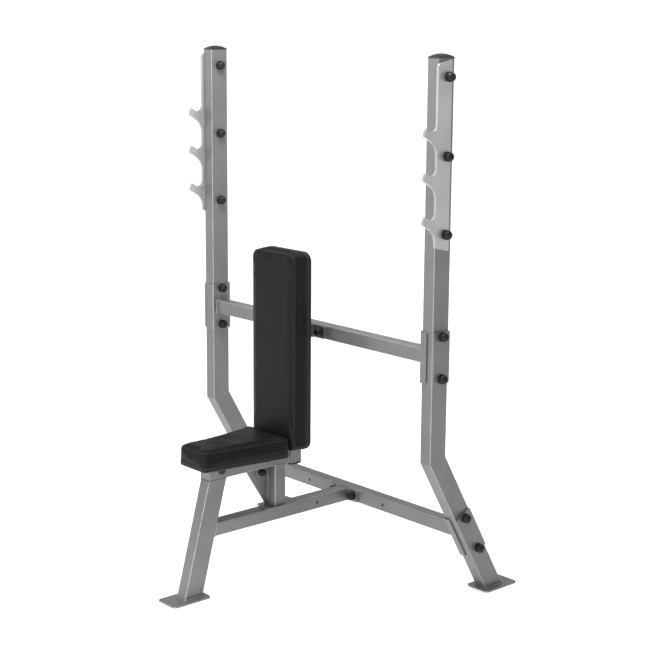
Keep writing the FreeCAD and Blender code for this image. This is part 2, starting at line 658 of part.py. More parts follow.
def seat_plate(bolt_x, centre_y):
    width = 2 * (bolt_x + SEAT_PLATE_MARGIN)
    plate = rounded_bar(width, SEAT_PLATE_Y, SEAT_PLATE_THICKNESS, PLATE_CORNER)
    plate = moved(plate, 0, centre_y, SEAT_RAIL_TOP)
    hole = M10["shank"] + HOLE_CLEARANCE
    return drilled(plate, [upward_hole(hole, x, centre_y) for x in (-bolt_x, bolt_x)])


def seat_bolt_spots():
    rows = ((FRONT_SEAT_BOLT_X, FRONT_SEAT_PLATE_Y), (REAR_SEAT_BOLT_X, REAR_SEAT_PLATE_Y))
    return [(side * x, y) for x, y in rows for side in (-1, 1)]


def seat_bolts():
    length = SEAT_PLATE_THICKNESS + SEAT_BOARD_THICKNESS - BLIND_BOLT_SHORT
    bolt = turned(hex_bolt(M10, length), X_AXIS, 180)
    return Part.makeCompound([moved(bolt, x, y, SEAT_RAIL_TOP) for x, y in seat_bolt_spots()])


def seat_bolt_caps():
    cap = turned(bolt_cap(M10), X_AXIS, 180)
    return Part.makeCompound([moved(cap, x, y, SEAT_RAIL_TOP) for x, y in seat_bolt_spots()])


def seat_slab(inset, bottom, thickness, corner):
    """Tapered slab, narrow at the front."""
    front = SEAT_FRONT + inset
    back = SEAT_BACK - inset
    half_front = SEAT_FRONT_WIDTH / 2 - inset
    half_back = SEAT_BACK_WIDTH / 2 - inset
    corners = [V(-half_front, front, bottom), V(half_front, front, bottom),
               V(half_back, back, bottom), V(-half_back, back, bottom)]
    slab = Part.Face(Part.makePolygon(corners + [corners[0]])).extrude(V(0, 0, thickness))
    return slab.makeFillet(corner, edges_along(slab, Z_AXIS))


def seat_board():
    board_corner = SEAT_CORNER - BOARD_INSET
    board = seat_slab(BOARD_INSET, SEAT_BOARD_BOTTOM, SEAT_BOARD_THICKNESS, board_corner)
    pilot = M10["shank"] + SCREW_CLEARANCE
    return drilled(board, [upward_hole(pilot, x, y) for x, y in seat_bolt_spots()])


def seat_cushion():
    cushion = seat_slab(0.0, SEAT_FOAM_BOTTOM, SEAT_FOAM_THICKNESS, SEAT_CORNER)
    top = SEAT_FOAM_BOTTOM + SEAT_FOAM_THICKNESS
    top_edges = [edge for edge in cushion.Edges if edge.BoundBox.ZMin > top - 0.01]
    return cushion.makeFillet(CUSHION_EDGE, top_edges)


def post_base_plate():
    length = BASE_PLATE_BACK - BASE_PLATE_FRONT
    plate = rounded_bar(BASE_PLATE_X, length, BASE_PLATE_THICKNESS, PLATE_CORNER)
    return moved(plate, 0, BASE_PLATE_FRONT + length / 2, SPINE_TOP)


def seat_post():
    post = tube(SQUARE_TUBE, SQUARE_TUBE, SEAT_RAIL_BOTTOM - BASE_TOP)
    return moved(post, 0, SEAT_POST_FRONT + SQUARE_TUBE / 2, BASE_TOP)


def seat_gusset():
    """Upright plate in front of the seat post, wide at the top."""
    top = SEAT_RAIL_BOTTOM - GUSSET_TOP_GAP
    outline = rounded_outline([(SEAT_POST_FRONT, BASE_TOP, WELDED_CORNER),
                               (SEAT_POST_FRONT, top, WELDED_CORNER),
                               (SEAT_POST_FRONT - GUSSET_REACH, top, PLATE_CORNER),
                               (SEAT_POST_FRONT - GUSSET_FOOT, BASE_TOP, WELDED_CORNER)])
    plate = flat_plate(outline, GUSSET_X, GUSSET_THICKNESS)
    return plate.cut(cross_hole(M10["shank"] + HOLE_CLEARANCE, GUSSET_BOLT_Y, GUSSET_BOLT_Z))


def rail_tab():
    """Tab under the seat rail, bolted to the right face of the gusset."""
    front = GUSSET_BOLT_Y - TAB_LENGTH / 2
    back = GUSSET_BOLT_Y + TAB_LENGTH / 2
    bottom = SEAT_RAIL_BOTTOM - TAB_DROP
    outline = rounded_outline([(front, bottom, TAB_CORNER), (back, bottom, TAB_CORNER),
                               (back, SEAT_RAIL_BOTTOM, WELDED_CORNER),
                               (front, SEAT_RAIL_BOTTOM, WELDED_CORNER)])
    plate = flat_plate(outline, TAB_X, TAB_THICKNESS)
    return plate.cut(cross_hole(M10["shank"] + HOLE_CLEARANCE, GUSSET_BOLT_Y, GUSSET_BOLT_Z))


def gusset_fasteners():
    grip = GUSSET_THICKNESS + TAB_THICKNESS

    def place(piece, spot):
        return moved(turned(piece, Y_AXIS, 90), *spot)

    spot = (TAB_X + TAB_THICKNESS, GUSSET_BOLT_Y, GUSSET_BOLT_Z)
    return bolt_row(M10, grip, place, [spot])


# Write every piece -----------------------------------------------------------------------------
def save_frame():
    save_pair("upright", upright())
    save_pair("rear_leg", rear_leg())
    save_pair("rear_foot_plate", rear_foot_plate())
    save_pair("upright_cap", upright_cap())
    save_pair("hook_plate", hook_plate())
    save_pair("upper_saddle", on_upright(saddle()))
    save_pair("upper_side_plate", on_upright(side_plate()))
    save_pair("lower_saddle", on_leg(saddle()))
    save_pair("lower_side_plate", on_leg(side_plate()))
    save("upper_crossmember", crossmember(TUBE_CENTRE_Y, UPPER_BAR_HEIGHT))
    save("lower_crossmember", lower_crossmember())
    save("spine_tube", spine_tube())
    save("spine_flange", mount_plate(LOWER_BAR_FRONT, LEG_BRACKET_Z))
    save("front_leg", front_leg())
    save("front_foot_plate", front_foot_plate())


def save_back_rest():
    save("back_mount_plate", mount_plate(UPPER_BAR_FRONT, UPPER_BAR_HEIGHT))
    save("back_stub", back_stub())
    save("back_post", back_post())
    save("back_post_caps", back_post_caps())
    save("back_board", back_board())
    save("back_cushion", back_cushion())
    save("back_pad_bolts", back_pad_bolts())


def save_seat():
    save("seat_rail", seat_rail())
    save("seat_rail_end_plates", seat_rail_end_plates())
    save("seat_plate_front", seat_plate(FRONT_SEAT_BOLT_X, FRONT_SEAT_PLATE_Y))
    save("seat_plate_rear", seat_plate(REAR_SEAT_BOLT_X, REAR_SEAT_PLATE_Y))
    save("seat_board", seat_board())
    save("seat_cushion", seat_cushion())
    save("seat_bolts", seat_bolts())
    save("seat_bolt_caps", seat_bolt_caps())
    save("seat_post", seat_post())
    save("post_base_plate", post_base_plate())
    save("seat_gusset", seat_gusset())
    save("rail_tab", rail_tab())


def save_fasteners():
    for prefix, row in (("hook", hook_fasteners()), ("bracket", bracket_fasteners())):
        for kind, pieces in row.items():
            save(prefix + "_" + kind, both_sides(pieces))
    for prefix, row in (("mount", mount_fasteners()), ("gusset", gusset_fasteners())):
        for kind, pieces in row.items():
            save(prefix + "_" + kind, Part.makeCompound(pieces))


save_frame()
save_back_rest()
save_seat()
save_fasteners()
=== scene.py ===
"""Looks of an upright pressing bench with bar hooks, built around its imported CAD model.

Metres, Z up, front of the bench towards -Y, its right-hand side towards +X. The CAD nodes
keep their shapes and get procedural materials, except the two cushions: a cover swollen with
cloth pressure and pulled in along a seam takes the place of each. Weld beads, the covers' bands
with their hems, and staples are added.
"""

import math
import random

import bmesh
import bpy
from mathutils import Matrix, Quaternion, Vector, geometry, noise
from mathutils.bvhtree import BVHTree
from mathutils.kdtree import KDTree


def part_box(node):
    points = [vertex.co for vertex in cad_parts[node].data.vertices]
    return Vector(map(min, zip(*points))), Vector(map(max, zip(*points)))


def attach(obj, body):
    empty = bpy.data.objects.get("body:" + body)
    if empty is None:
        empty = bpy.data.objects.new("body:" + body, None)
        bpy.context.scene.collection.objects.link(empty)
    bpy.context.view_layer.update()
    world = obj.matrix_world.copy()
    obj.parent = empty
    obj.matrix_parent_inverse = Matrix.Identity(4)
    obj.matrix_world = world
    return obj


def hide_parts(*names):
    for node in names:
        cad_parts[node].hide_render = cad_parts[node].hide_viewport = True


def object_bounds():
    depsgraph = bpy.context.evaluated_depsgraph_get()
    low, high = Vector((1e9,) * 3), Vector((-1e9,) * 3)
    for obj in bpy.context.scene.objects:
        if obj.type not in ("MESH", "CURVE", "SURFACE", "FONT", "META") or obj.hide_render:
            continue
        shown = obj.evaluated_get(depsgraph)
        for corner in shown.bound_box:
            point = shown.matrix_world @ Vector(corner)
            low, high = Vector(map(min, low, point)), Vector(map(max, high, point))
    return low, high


MM = 0.001

# Camera ---------------------------------------------------------------------------------------
CAMERA_AZIMUTH = 48.475        # degrees round from the front towards the right-hand side
CAMERA_ELEVATION = 11.624      # degrees above the horizon
CAMERA_ROLL = 0.368            # degrees
CAMERA_DISTANCE = 5.4865       # from the aim point
CAMERA_LENS = 84.83            # mm
CAMERA_SENSOR = 36.0           # mm
AIM_OFFSET = Vector((0.0947, 0.1000, -0.0235))   # aim point from the middle of the CAD box

# Pads -----------------------------------------------------------------------------------------
OUTLINE_STEP = 4 * MM          # spacing of points round a pad
PAD_SIDE_SLACK = 1.2 * MM      # the cover starts this much inside the CAD pad, then swells
PAD_FACE_SLACK = 3.0 * MM
PAD_EDGE = 7 * MM              # rounding between face and sides
PAD_EDGE_STEPS = 4
PAD_VOXEL = 5.0 * MM
PAD_SWELL = 5.0 * MM           # most that a point of the cover moves
PAD_PRESSURE = 4.0
PAD_STRETCH_STIFFNESS = 25.0
PAD_BEND_STIFFNESS = 3.0
PAD_QUALITY = 4                # cloth steps in a frame
PAD_FRAMES = 20
PAD_HELD_DEPTH = 5 * MM        # cloth this close to the board doesn't move
SEAM_RADIUS = 1.5 * MM
SEAM_WAVER = 0.10              # how much the seam's radius varies, as a share of it
SEAM_WAVE = 2.1                # radians of that variation from one point to the next
SEAM_STEP = 2.5 * MM
SEAM_SIDES = 8
SEAM_GROOVE = 1.3 * MM         # how deep the seam pulls the cover in
SEAM_REACH = 6 * MM            # half width of the groove
SEAM_PROBE = 30 * MM           # the seam is looked for from this far outside the pad
SEAM_DROP = PAD_EDGE * 0.2     # how far below the face's corner it is looked for
SEAM_SMOOTHING = 3             # rounds
UNEVEN_FROM = 2 * MM           # height above the board from which the cover is uneven
UNEVEN_DEPTH = 0.7 * MM
UNEVEN_SCALE = 22.0            # noise scale, per metre
PUCKER_DEPTH = 0.22 * MM
PUCKER_LENGTH = 9 * MM         # along the seam, for one radian
PUCKER_REACH = 5               # how far the puckers run from the seam, in groove half widths
PUCKER_WANDER = 4              # radians by which noise shifts them
PUCKER_SCALE = 30.0            # noise scale, per metre
COVER_THICKNESS = 1.2 * MM
COVER_HEM = 20 * MM            # how far the cover reaches over the back of its board
COVER_LAP = 3 * MM             # how far the cover's band overlaps the foam
HEM_UNEVEN = 0.35 * MM         # most by which the hem is thicker in places
HEM_SCALE = 60                 # noise scale, per metre
STAPLE_PITCH = 32 * MM
STAPLE_CROWN = 11 * MM
STAPLE_WIRE = 0.9 * MM
STAPLE_LINE = 0.62             # how far in the staples sit, as a share of the hem
STAPLE_PROUD = 0.3             # height of the crown's middle above the hem, in wires
STAPLE_LEG = 1.5               # length of a leg, in wires
STAPLE_STEP = 0.8 * MM
STAPLE_SIDES = 6
STAPLE_CLEARANCE = 6 * MM      # between a staple's middle and a metal part over the hem

# Paint and other looks: colours are linear, noise scales are per metre --------------------------
EDGE_WEAR_AND_HIGHLIGHT = 0.35               # share of the edge colour on cut edges: part wear, part painted highlight
CORNER_HIGHLIGHT = 0.55             # share of it on the rolled corners of the tubes: painted highlight
PAINT_WEAR_AND_HIGHLIGHT_RADIUS = 1.4 * MM
# Each paint's edge colour is lighter paint: on cut edges part wear, part painted highlight; on the
# tubes' rolled corners painted highlight.
FRAME_PAINT = {"dark": (0.112, 0.112, 0.112), "light": (0.215, 0.215, 0.213),
               "edge": (0.56, 0.56, 0.55), "flake": 900.0, "peel": 420.0,
               "shine": 0.32, "metal": 0.35}
HOOK_PAINT = {"dark": (0.29, 0.29, 0.29), "light": (0.50, 0.50, 0.495),
              "edge": (0.66, 0.66, 0.65), "flake": 520.0, "peel": 300.0,
              "shine": 0.24, "metal": 0.45}
ZINC_DARK = (0.42, 0.42, 0.43)
ZINC_LIGHT = (0.66, 0.66, 0.64)
PLASTIC_DARK = (0.009, 0.009, 0.010)
PLASTIC_LIGHT = (0.020, 0.020, 0.021)
PLASTIC_EDGE = (0.06, 0.06, 0.06)
PLASTIC_EDGE_RADIUS = 1.0 * MM
CAP_RUBBER = {"shine_low": 0.26, "shine_high": 0.38, "grain_size": 900.0,
              "grain_depth": 0.10 * MM, "gloss": 0.18}
CAP_GLOSS = {"shine_low": 0.12, "shine_high": 0.20, "grain_size": 500.0,
             "grain_depth": 0.04 * MM, "gloss": 0.5}
VINYL_DARK = (0.005, 0.005, 0.0055)
VINYL_LIGHT = (0.011, 0.011, 0.0115)
VINYL_PEBBLE = (0.015, 0.015, 0.0155)
# Lighter colour along the pads' rounded edges: wear and painted highlight.
VINYL_WEAR_AND_SHEEN = (0.085, 0.085, 0.087)
VINYL_WEAR_AND_HIGHLIGHT_RADIUS = 5.0 * MM
VINYL_PEBBLE_SCALE = 620.0
VINYL_GLOSS = 0.08
PLYWOOD_DARK = (0.018, 0.014, 0.011)
PLYWOOD_LIGHT = (0.075, 0.056, 0.040)
PLYWOOD_LAYERS = 420.0         # noise scale across the layers
PLYWOOD_SPREAD = 9.0           # and along them

# Welds ----------------------------------------------------------------------------------------
FRONT_RAKE = math.radians(15)  # lean of the front leg
TUBE_CORNER = 4 * MM
CORNER_STEPS = 4
BEAD_STEP = 1.3 * MM
BEAD_SIDES = 8
BEAD_PITCH = 4.2 * MM          # length of one weld ripple
BEAD_RIPPLE = 0.16             # depth of a ripple, as a share of the bead's radius
BEAD_WAVER = 0.07              # how much the radius varies at random, as a share of it
BEAD_MARGIN = 3 * MM           # most straight beads stop this far short of a corner
BEAD_SINK = 0.5 * MM           # how far some beads' middles lie inside the tube's skin
BIG_BEAD = 3.2 * MM
SMALL_BEAD = 2.4 * MM
FLUSH_BEAD = 1.5 * MM          # ground weld, as across a mitre
RAIL_END_BEAD = FLUSH_BEAD * 0.7
GUSSET_FOOT = 10 * MM          # length of the gusset's weld along the base plate

# Studio ---------------------------------------------------------------------------------------
HORIZON_BAND = 0.06            # sine of the elevation up to which the background is white
SKY_BAND = 0.35                # and from which it has its overhead brightness
HORIZON_GLOW = 1.05
SKY_GLOW = 0.42
SHADE_BAND = (0.2, 0.9)        # sideways part of a direction over which the shade comes in
RIGHT_SHADE = 0.5              # how much of the glow is left on the bench's right-hand side
FLOOR_SIZE = 300.0             # metres from the middle to an edge
FLOOR_DROP = 0.5 * MM
FLOOR_GLOW = 0.45
FLOOR_DARK = (0.88, 0.88, 0.88)
FLOOR_LIGHT = (0.91, 0.91, 0.91)
# Name, azimuth and elevation in degrees, strength, softness in degrees.
SUNS = (("key", -15, 62, 1.35, 50),
        ("fill", 190, 50, 0.4, 40))
# Name, aim from the middle of the CAD box, azimuth, elevation, distance, size, power.
SOFT_BOXES = (("left_box", Vector((0.0, 0.0, 0.0)), -60, 25, 3.2, (1.2, 2.2), 3),
              ("inner_box", Vector((-0.55, 0.1, 0.0)), 60, 62, 2.2, (0.8, 0.8), 44),
              ("front_box", Vector((-0.1, -0.1, -0.5)), 20, 0, 2.6, (1.0, 0.8), 20))


# Node helpers ---------------------------------------------------------------------------------
def add_node(tree, kind, inputs=None, **settings):
    """A new node; an input is given by name or number, as a number, a colour or another socket."""
    made = tree.nodes.new(kind)
    for name, value in settings.items():
        setattr(made, name, value)
    for name, value in (inputs or {}).items():
        if isinstance(value, bpy.types.NodeSocket):
            tree.links.new(value, made.inputs[name])
        else:
            made.inputs[name].default_value = value
    return made


def new_material(name):
    material = bpy.data.materials.new(name)
    material.use_nodes = True
    tree = material.node_tree
    return material, tree, tree.nodes["Principled BSDF"]


def object_coordinates(tree):
    return add_node(tree, "ShaderNodeTexCoord").outputs["Object"]


def noise_value(tree, scale, detail=2.0, roughness=0.5, coordinates=None):
    where = coordinates or object_coordinates(tree)
    made = add_node(tree, "ShaderNodeTexNoise", {"Vector": where, "Scale": scale, "Detail": detail,
                                                 "Roughness": roughness})
    return made.outputs["Fac"]


def remap(tree, value, low, high, to_low=0.0, to_high=1.0):
    made = add_node(tree, "ShaderNodeMapRange", {"Value": value, "From Min": low, "From Max": high,
                                                 "To Min": to_low, "To Max": to_high})
    return made.outputs["Result"]


def mix_colour(tree, factor, first, second):
    made = add_node(tree, "ShaderNodeMix", data_type="RGBA")
    for socket, value in ((made.inputs[0], factor), (made.inputs[6], first), (made.inputs[7], second)):
        if isinstance(value, bpy.types.NodeSocket):
            tree.links.new(value, socket)
        elif isinstance(value, tuple):
            socket.default_value = (*value, 1.0)
        else:
            socket.default_value = value
    return made.outputs[2]


def math_value(tree, operation, first, second):
    made = add_node(tree, "ShaderNodeMath", {0: first, 1: second}, operation=operation)
    return made.outputs[0]


def edge_mask(tree, radius, low, high):
    """A mask from 0 on flat faces to 1 along sharp edges, and the rounded normal it comes from."""
    rounded = add_node(tree, "ShaderNodeBevel", {"Radius": radius}, samples=6)
    true_normal = add_node(tree, "ShaderNodeNewGeometry").outputs["Normal"]
    alike = add_node(tree, "ShaderNodeVectorMath", {0: rounded.outputs[0], 1: true_normal},
                     operation="DOT_PRODUCT").outputs["Value"]
    lean = math_value(tree, "SUBTRACT", 1.0, alike)
    return remap(tree, lean, low, high), rounded.outputs[0]


def bump(tree, height, distance, strength=1.0, normal=None):
    made = add_node(tree, "ShaderNodeBump", {"Height": height, "Distance": distance,
                                             "Strength": strength})
    if normal:
        tree.links.new(normal, made.inputs["Normal"])
    return made.outputs["Normal"]


# Materials ------------------------------------------------------------------------------------
def rolled_corners(tree, axis):
    """1 along the rolled corners of tubes whose faces are square to this axis, 0 on their faces; the
    paint puts a painted highlight there.
    """
    normal = add_node(tree, "ShaderNodeNewGeometry").outputs["Normal"]
    parts = add_node(tree, "ShaderNodeSeparateXYZ", {0: normal})
    square = math_value(tree, "POWER", math_value(tree, "ABSOLUTE", parts.outputs[axis], 0.0), 2.0)
    both = math_value(tree, "MULTIPLY", square, math_value(tree, "SUBTRACT", 1.0, square))
    return remap(tree, both, 0.08, 0.24)


def paint_material(name, dark, light, edge, flake, peel, shine, metal, corner_axis=0):
    """Silver-grey baked paint: metal flake, orange peel, and lighter edges: part wear, part painted
    highlight.
    """
    material, tree, shader = new_material(name)
    flakes = noise_value(tree, flake, detail=3.0, roughness=0.7)
    clouds = noise_value(tree, 7.0, detail=4.0)
    tone = math_value(tree, "ADD", remap(tree, flakes, 0.3, 0.7, 0.0, 0.7),
                      remap(tree, clouds, 0.3, 0.7, 0.0, 0.3))
    # Lighter edge colour: part wear, part painted highlight on cut edges; painted highlight on the
    # tubes' rolled corners.
    edge_share, rounded = edge_mask(tree, PAINT_WEAR_AND_HIGHLIGHT_RADIUS, 0.01, 0.16)
    edge_share = math_value(tree, "MAXIMUM", math_value(tree, "MULTIPLY", edge_share, EDGE_WEAR_AND_HIGHLIGHT),
                      math_value(tree, "MULTIPLY", rolled_corners(tree, corner_axis), CORNER_HIGHLIGHT))
    patchy = math_value(tree, "MULTIPLY", edge_share,
                        remap(tree, noise_value(tree, 60.0, detail=3.0), 0.3, 0.6, 0.45, 1.0))
    colour = mix_colour(tree, patchy, mix_colour(tree, tone, dark, light), edge)
    tree.links.new(colour, shader.inputs["Base Color"])
    shader.inputs["Metallic"].default_value = metal
    smear = remap(tree, noise_value(tree, 24.0, detail=5.0), 0.3, 0.7, shine, shine + 0.12)
    tree.links.new(smear, shader.inputs["Roughness"])
    grain = noise_value(tree, peel, detail=2.0)
    tree.links.new(bump(tree, grain, 0.25 * MM, 0.35, rounded), shader.inputs["Normal"])
    return material


def zinc_material():
    material, tree, shader = new_material("zinc_plate")
    clouds = noise_value(tree, 160.0, detail=4.0)
    colour = mix_colour(tree, clouds, ZINC_DARK, ZINC_LIGHT)
    tree.links.new(colour, shader.inputs["Base Color"])
    shader.inputs["Metallic"].default_value = 1.0
    tree.links.new(remap(tree, clouds, 0.2, 0.8, 0.24, 0.42), shader.inputs["Roughness"])
    grain = noise_value(tree, 1500.0, detail=1.0)
    tree.links.new(bump(tree, grain, 0.05 * MM, 0.3), shader.inputs["Normal"])
    return material


def black_plastic_material(name, shine_low, shine_high, grain_size, grain_depth, gloss):
    """Moulded black plastic or rubber with a faint mould grain and greyer edges."""
    material, tree, shader = new_material(name)
    # Greyer along sharp edges.
    edge_share, rounded = edge_mask(tree, PLASTIC_EDGE_RADIUS, 0.02, 0.25)
    clouds = noise_value(tree, 90.0, detail=3.0)
    body = mix_colour(tree, clouds, PLASTIC_DARK, PLASTIC_LIGHT)
    colour = mix_colour(tree, math_value(tree, "MULTIPLY", edge_share, 0.6), body, PLASTIC_EDGE)
    tree.links.new(colour, shader.inputs["Base Color"])
    tree.links.new(remap(tree, clouds, 0.3, 0.7, shine_low, shine_high), shader.inputs["Roughness"])
    grain = noise_value(tree, grain_size, detail=2.0)
    tree.links.new(bump(tree, grain, grain_depth, 0.4, rounded), shader.inputs["Normal"])
    shader.inputs["Specular IOR Level"].default_value = gloss
    return material


def vinyl_material():
    """Black upholstery vinyl: pebbled leather grain, fine creases, handled patches and lighter edges
    (wear and painted highlight).
    """
    material, tree, shader = new_material("black_vinyl")
    where = object_coordinates(tree)
    wander = add_node(tree, "ShaderNodeTexNoise", {"Vector": where, "Scale": 260.0, "Detail": 2.0})
    nudge = add_node(tree, "ShaderNodeVectorMath", {0: wander.outputs["Color"], 1: [0.0012] * 3},
                     operation="MULTIPLY")
    bent = add_node(tree, "ShaderNodeVectorMath", {0: nudge.outputs[0], 1: where}, operation="ADD")
    pebbles = add_node(tree, "ShaderNodeTexVoronoi", {"Vector": bent.outputs[0],
                                                    "Scale": VINYL_PEBBLE_SCALE},
                       feature="DISTANCE_TO_EDGE")
    pebble = remap(tree, pebbles.outputs["Distance"], 0.0, 0.22)
    crease = noise_value(tree, 140.0, detail=5.0, roughness=0.6)
    height = math_value(tree, "ADD", math_value(tree, "MULTIPLY", pebble, 0.6),
                        math_value(tree, "MULTIPLY", crease, 0.8))
    clouds = noise_value(tree, 16.0, detail=5.0, roughness=0.6)
    ground = mix_colour(tree, clouds, VINYL_DARK, VINYL_LIGHT)
    # Lighter along the rounded edges: wear and painted highlight.
    edge_share, _ = edge_mask(tree, VINYL_WEAR_AND_HIGHLIGHT_RADIUS, 0.01, 0.20)
    top = mix_colour(tree, math_value(tree, "MULTIPLY", pebble, 0.5), ground, VINYL_PEBBLE)
    colour = mix_colour(tree, math_value(tree, "MULTIPLY", edge_share, 0.6), top, VINYL_WEAR_AND_SHEEN)
    tree.links.new(colour, shader.inputs["Base Color"])
    tree.links.new(remap(tree, clouds, 0.3, 0.7, 0.36, 0.50), shader.inputs["Roughness"])
    tree.links.new(bump(tree, height, 0.30 * MM, 0.45), shader.inputs["Normal"])
    shader.inputs["Specular IOR Level"].default_value = VINYL_GLOSS
    return material


def plywood_material(name, thin_axis):
    """Dark-stained plywood: long grain on its faces, glued layers on its edges."""
    material, tree, shader = new_material(name)
    stretch = [PLYWOOD_SPREAD] * 3
    stretch[thin_axis] = PLYWOOD_LAYERS
    scaled = add_node(tree, "ShaderNodeVectorMath", {0: object_coordinates(tree), 1: stretch},
                      operation="MULTIPLY").outputs[0]
    layers = noise_value(tree, 1.0, detail=2.0, coordinates=scaled)
    across = add_node(tree, "ShaderNodeVectorMath",
                      {0: object_coordinates(tree), 1: (260.0, 14.0, 14.0)},
                      operation="MULTIPLY").outputs[0]
    fibres = noise_value(tree, 1.0, detail=6.0, roughness=0.65, coordinates=across)
    tone = math_value(tree, "MULTIPLY", layers, fibres)
    colour = mix_colour(tree, remap(tree, tone, 0.1, 0.45), PLYWOOD_DARK, PLYWOOD_LIGHT)
    tree.links.new(colour, shader.inputs["Base Color"])
    tree.links.new(remap(tree, fibres, 0.3, 0.7, 0.62, 0.80), shader.inputs["Roughness"])
    tree.links.new(bump(tree, fibres, 0.3 * MM, 0.5), shader.inputs["Normal"])
    return material


def make_materials():
    return {
        "frame": paint_material("frame_paint_silver", **FRAME_PAINT),
        # The crossmembers' copy puts the painted corner highlight on their corners, which are square
        # to Y.
        "crossbar": paint_material("crossbar_paint_silver", corner_axis=1, **FRAME_PAINT),
        "hook": paint_material("hook_paint_silver", **HOOK_PAINT),
        "zinc": zinc_material(),
        "rubber": black_plastic_material("cap_rubber", **CAP_RUBBER),
        "gloss": black_plastic_material("end_cap_gloss", **CAP_GLOSS),
        "vinyl": vinyl_material(),
        "back_board": plywood_material("plywood_back", 1),
        "seat_board": plywood_material("plywood_seat", 2),
    }


def paint_cad_nodes(nodes, materials):
    """Gives each CAD node the material of its own name, or else of its slot in the record."""
    by_slot = {"frame_paint": "frame", "hook_paint": "hook", "tube_end_cap": "gloss",
               "bolt_cap": "rubber", "zinc_fastener": "zinc", "upholstery": "vinyl"}
    by_name = {"upper_crossmember": "crossbar", "lower_crossmember": "crossbar",
               "back_post_caps": "rubber"}
    for name, node in nodes.items():
        for material_slot in node.material_slots:
            slot_name = material_slot.material.name.split(".")[0]
            material_slot.link = "OBJECT"
            material_slot.material = materials[by_name.get(name) or by_slot.get(slot_name, name)]


# Mesh helpers ---------------------------------------------------------------------------------
def add_piece(name, mesh, material):
    """A finished piece of the bench, riding on the frame."""
    piece = bpy.data.objects.new(name, mesh)
    bpy.context.scene.collection.objects.link(piece)
    mesh.materials.clear()
    mesh.materials.append(material)
    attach(piece, "root")
    return piece


def mesh_from(name, build):
    """A mesh filled by build(bm), with outward normals."""
    bm = bmesh.new()
    build(bm)
    bmesh.ops.recalc_face_normals(bm, faces=bm.faces)
    mesh = bpy.data.meshes.new(name)
    bm.to_mesh(mesh)
    bm.free()
    for polygon in mesh.polygons:
        polygon.use_smooth = True
    return mesh


def bridge(bm, first, second):
    """Faces between two closed rings with the same number of points."""
    count = len(first)
    for i in range(count):
        j = (i + 1) % count
        bm.faces.new((first[i], first[j], second[j], second[i]))


def resampled(points, step, closed):
    """The same path with points a near-even step apart."""
    if closed:
        points = points + [points[0]]
    travelled = [0.0]
    for before, after in zip(points, points[1:]):
        travelled.append(travelled[-1] + (after - before).length)
    count = max(2, round(travelled[-1] / step))
    result = []
    k = 0
    for i in range(count if closed else count + 1):
        target = travelled[-1] * i / count
        while k < len(points) - 2 and travelled[k + 1] < target:
            k += 1
        share = (target - travelled[k]) / max(travelled[k + 1] - travelled[k], 1e-9)
        result.append(points[k].lerp(points[k + 1], share))
    return result


def smoothed(points, rounds):
    """A closed path with each point eased towards its neighbours."""
    count = len(points)
    for _ in range(rounds):
        points = [(points[i - 1] + 2 * points[i] + points[(i + 1) % count]) / 4
                  for i in range(count)]
    return points


def rounded_loop(corners, radius):
    """A closed path through flat corners, each one rounded."""
    points = []
    count = len(corners)
    for i, corner in enumerate(corners):
        start = corner + (corners[i - 1] - corner).normalized() * radius
        end = corner + (corners[(i + 1) % count] - corner).normalized() * radius
        for k in range(CORNER_STEPS + 1):
            t = k / CORNER_STEPS
            points.append(start * (1 - t) ** 2 + corner * 2 * t * (1 - t) + end * t * t)
    return points


def tube_along(bm, path, closed, radius_at, sides):
    """A tube with flat ends along a path; radius_at(index) gives its radius."""
    rings = []
    count = len(path)
    side = None
    for i, point in enumerate(path):
        before = path[i - 1] if closed or i > 0 else point
        after = path[(i + 1) % count] if closed or i < count - 1 else point
        ahead = (after - before).normalized()
        if side is None:
            side = ahead.orthogonal().normalized()
        side = (side - ahead * side.dot(ahead)).normalized()
        up = ahead.cross(side)
        ring = []
        for k in range(sides):
            angle = 2 * math.pi * k / sides
            offset = side * math.cos(angle) + up * math.sin(angle)
            ring.append(bm.verts.new(point + offset * radius_at(i)))
        rings.append(ring)
    for first, second in zip(rings, rings[1:]):
        bridge(bm, first, second)
    if closed:
        first, last = rings[0], rings[-1]
        turn = min(range(sides), key=lambda k: (last[k].co - first[0].co).length)
        bridge(bm, last[turn:] + last[:turn], first)
    else:
        for ring in (rings[0], rings[-1]):
            bm.faces.new(ring)


